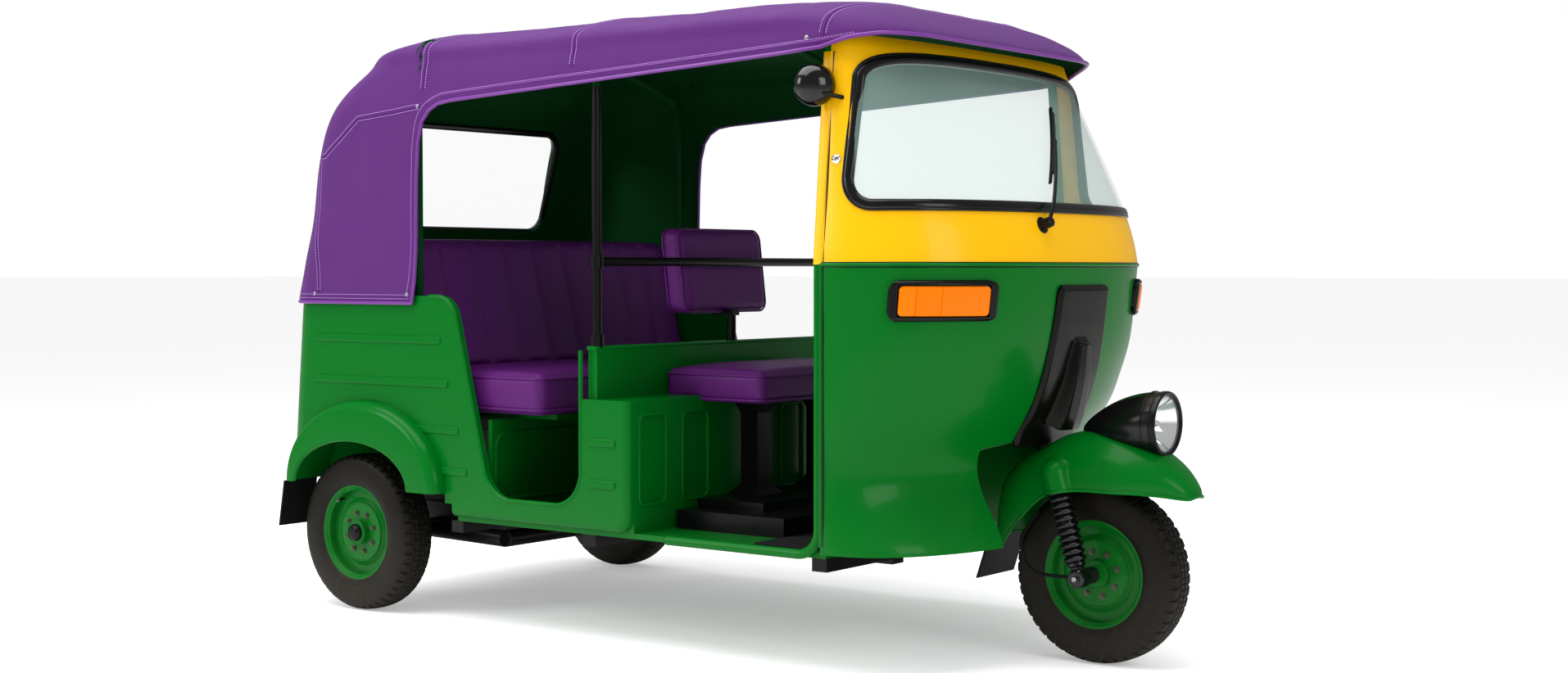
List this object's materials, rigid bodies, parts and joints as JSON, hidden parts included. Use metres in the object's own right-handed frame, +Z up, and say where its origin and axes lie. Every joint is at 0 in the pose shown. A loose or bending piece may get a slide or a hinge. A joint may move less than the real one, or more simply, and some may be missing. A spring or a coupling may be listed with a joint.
{
  "type": "auto rickshaw",
  "caption": "Motor passenger cab on wheels with a fabric hood, open doorways, a driver's seat and a rear bench.",
  "frame": {"origin": "on the ground, at the middle of the overall length and width", "axes": "+X forward, +Y to the vehicle's left, +Z up"},
  "size_m": [2.6487, 1.3, 1.68],
  "materials": {
    "green_paint": "glossy paint",
    "yellow_paint": "glossy paint",
    "black_metal": "satin paint",
    "grey_metal": "rough casting",
    "hood_fabric": "satin coated cloth",
    "seat_leather": "grained, satin",
    "black_plastic": "matt",
    "black_rubber": "matt",
    "tyre_rubber": "matt",
    "clear_glass": "clear",
    "amber_plastic": "glossy",
    "red_plastic": "glossy"
  },
  "bodies": {
    "cab": {"chassis_frame": "black_metal", "floor_pan": "green_paint", "partition_box": "green_paint", "engine_block": "grey_metal", "rear_suspension": "black_metal", "rear_mudguards": "green_paint", "rear_flaps": "black_rubber", "side_panel_right": "green_paint", "side_panel_left": "green_paint", "rear_panel": "green_paint", "front_cowl": "green_paint", "windscreen_surround": "yellow_paint", "windscreen": "clear_glass", "canopy": "hood_fabric", "rear_window": "clear_glass", "window_seals": "black_rubber", "hood_frame": "green_paint", "hand_rails": "black_metal", "bench_cushion": "seat_leather", "bench_back": "seat_leather", "bench_base": "green_paint", "driver_cushion": "seat_leather", "driver_backrest": "seat_leather", "driver_seat_frame": "black_metal", "driver_plinth": "black_metal", "dash_panel": "green_paint", "head_tube": "black_metal", "nose_garnish": "black_plastic", "indicator_bezels": "black_plastic", "indicator_lenses": "amber_plastic", "mirror": "black_plastic", "tail_lamps": "red_plastic", "wiper": "black_plastic", "front_pillars": "green_paint"},
    "wheel_rear_right": {"tyre_rear_right": "tyre_rubber", "rim_rear_right": "green_paint"},
    "wheel_rear_left": {"tyre_rear_left": "tyre_rubber", "rim_rear_left": "green_paint"},
    "wheel_front": {"tyre_front": "tyre_rubber", "rim_front": "green_paint"},
    "steering": {"steering_column": "black_metal", "handlebar": "black_plastic", "front_mudguard": "green_paint", "headlamp_shell": "black_plastic", "headlamp_lens": "clear_glass", "front_flap": "black_rubber", "damper": "black_rubber", "brake_hose": "black_rubber"},
    "lid": {"engine_lid": "green_paint"}
  },
  "joints": [
    {"name": "steer", "type": "hinge", "parent": "cab", "child": "steering", "pos_m": [0.86022, 0, 0.6], "axis": [-0.4226, 0, 0.9063], "range_deg": [-40, 40]},
    {"name": "front_wheel_spin", "type": "hinge", "parent": "steering", "child": "wheel_front", "pos_m": [1.065, 0, 0.224], "axis": [0, 1, 0], "continuous": true},
    {"name": "rear_right_wheel_spin", "type": "hinge", "parent": "cab", "child": "wheel_rear_right", "pos_m": [-1.015, -0.549, 0.224], "axis": [0, 1, 0], "continuous": true},
    {"name": "rear_left_wheel_spin", "type": "hinge", "parent": "cab", "child": "wheel_rear_left", "pos_m": [-1.015, 0.549, 0.224], "axis": [0, 1, 0], "continuous": true},
    {"name": "lid_hinge", "type": "hinge", "parent": "cab", "child": "lid", "pos_m": [-1.30061, 0, 0.814], "axis": [0, 1, 0], "range_deg": [0, 75]}
  ]
}
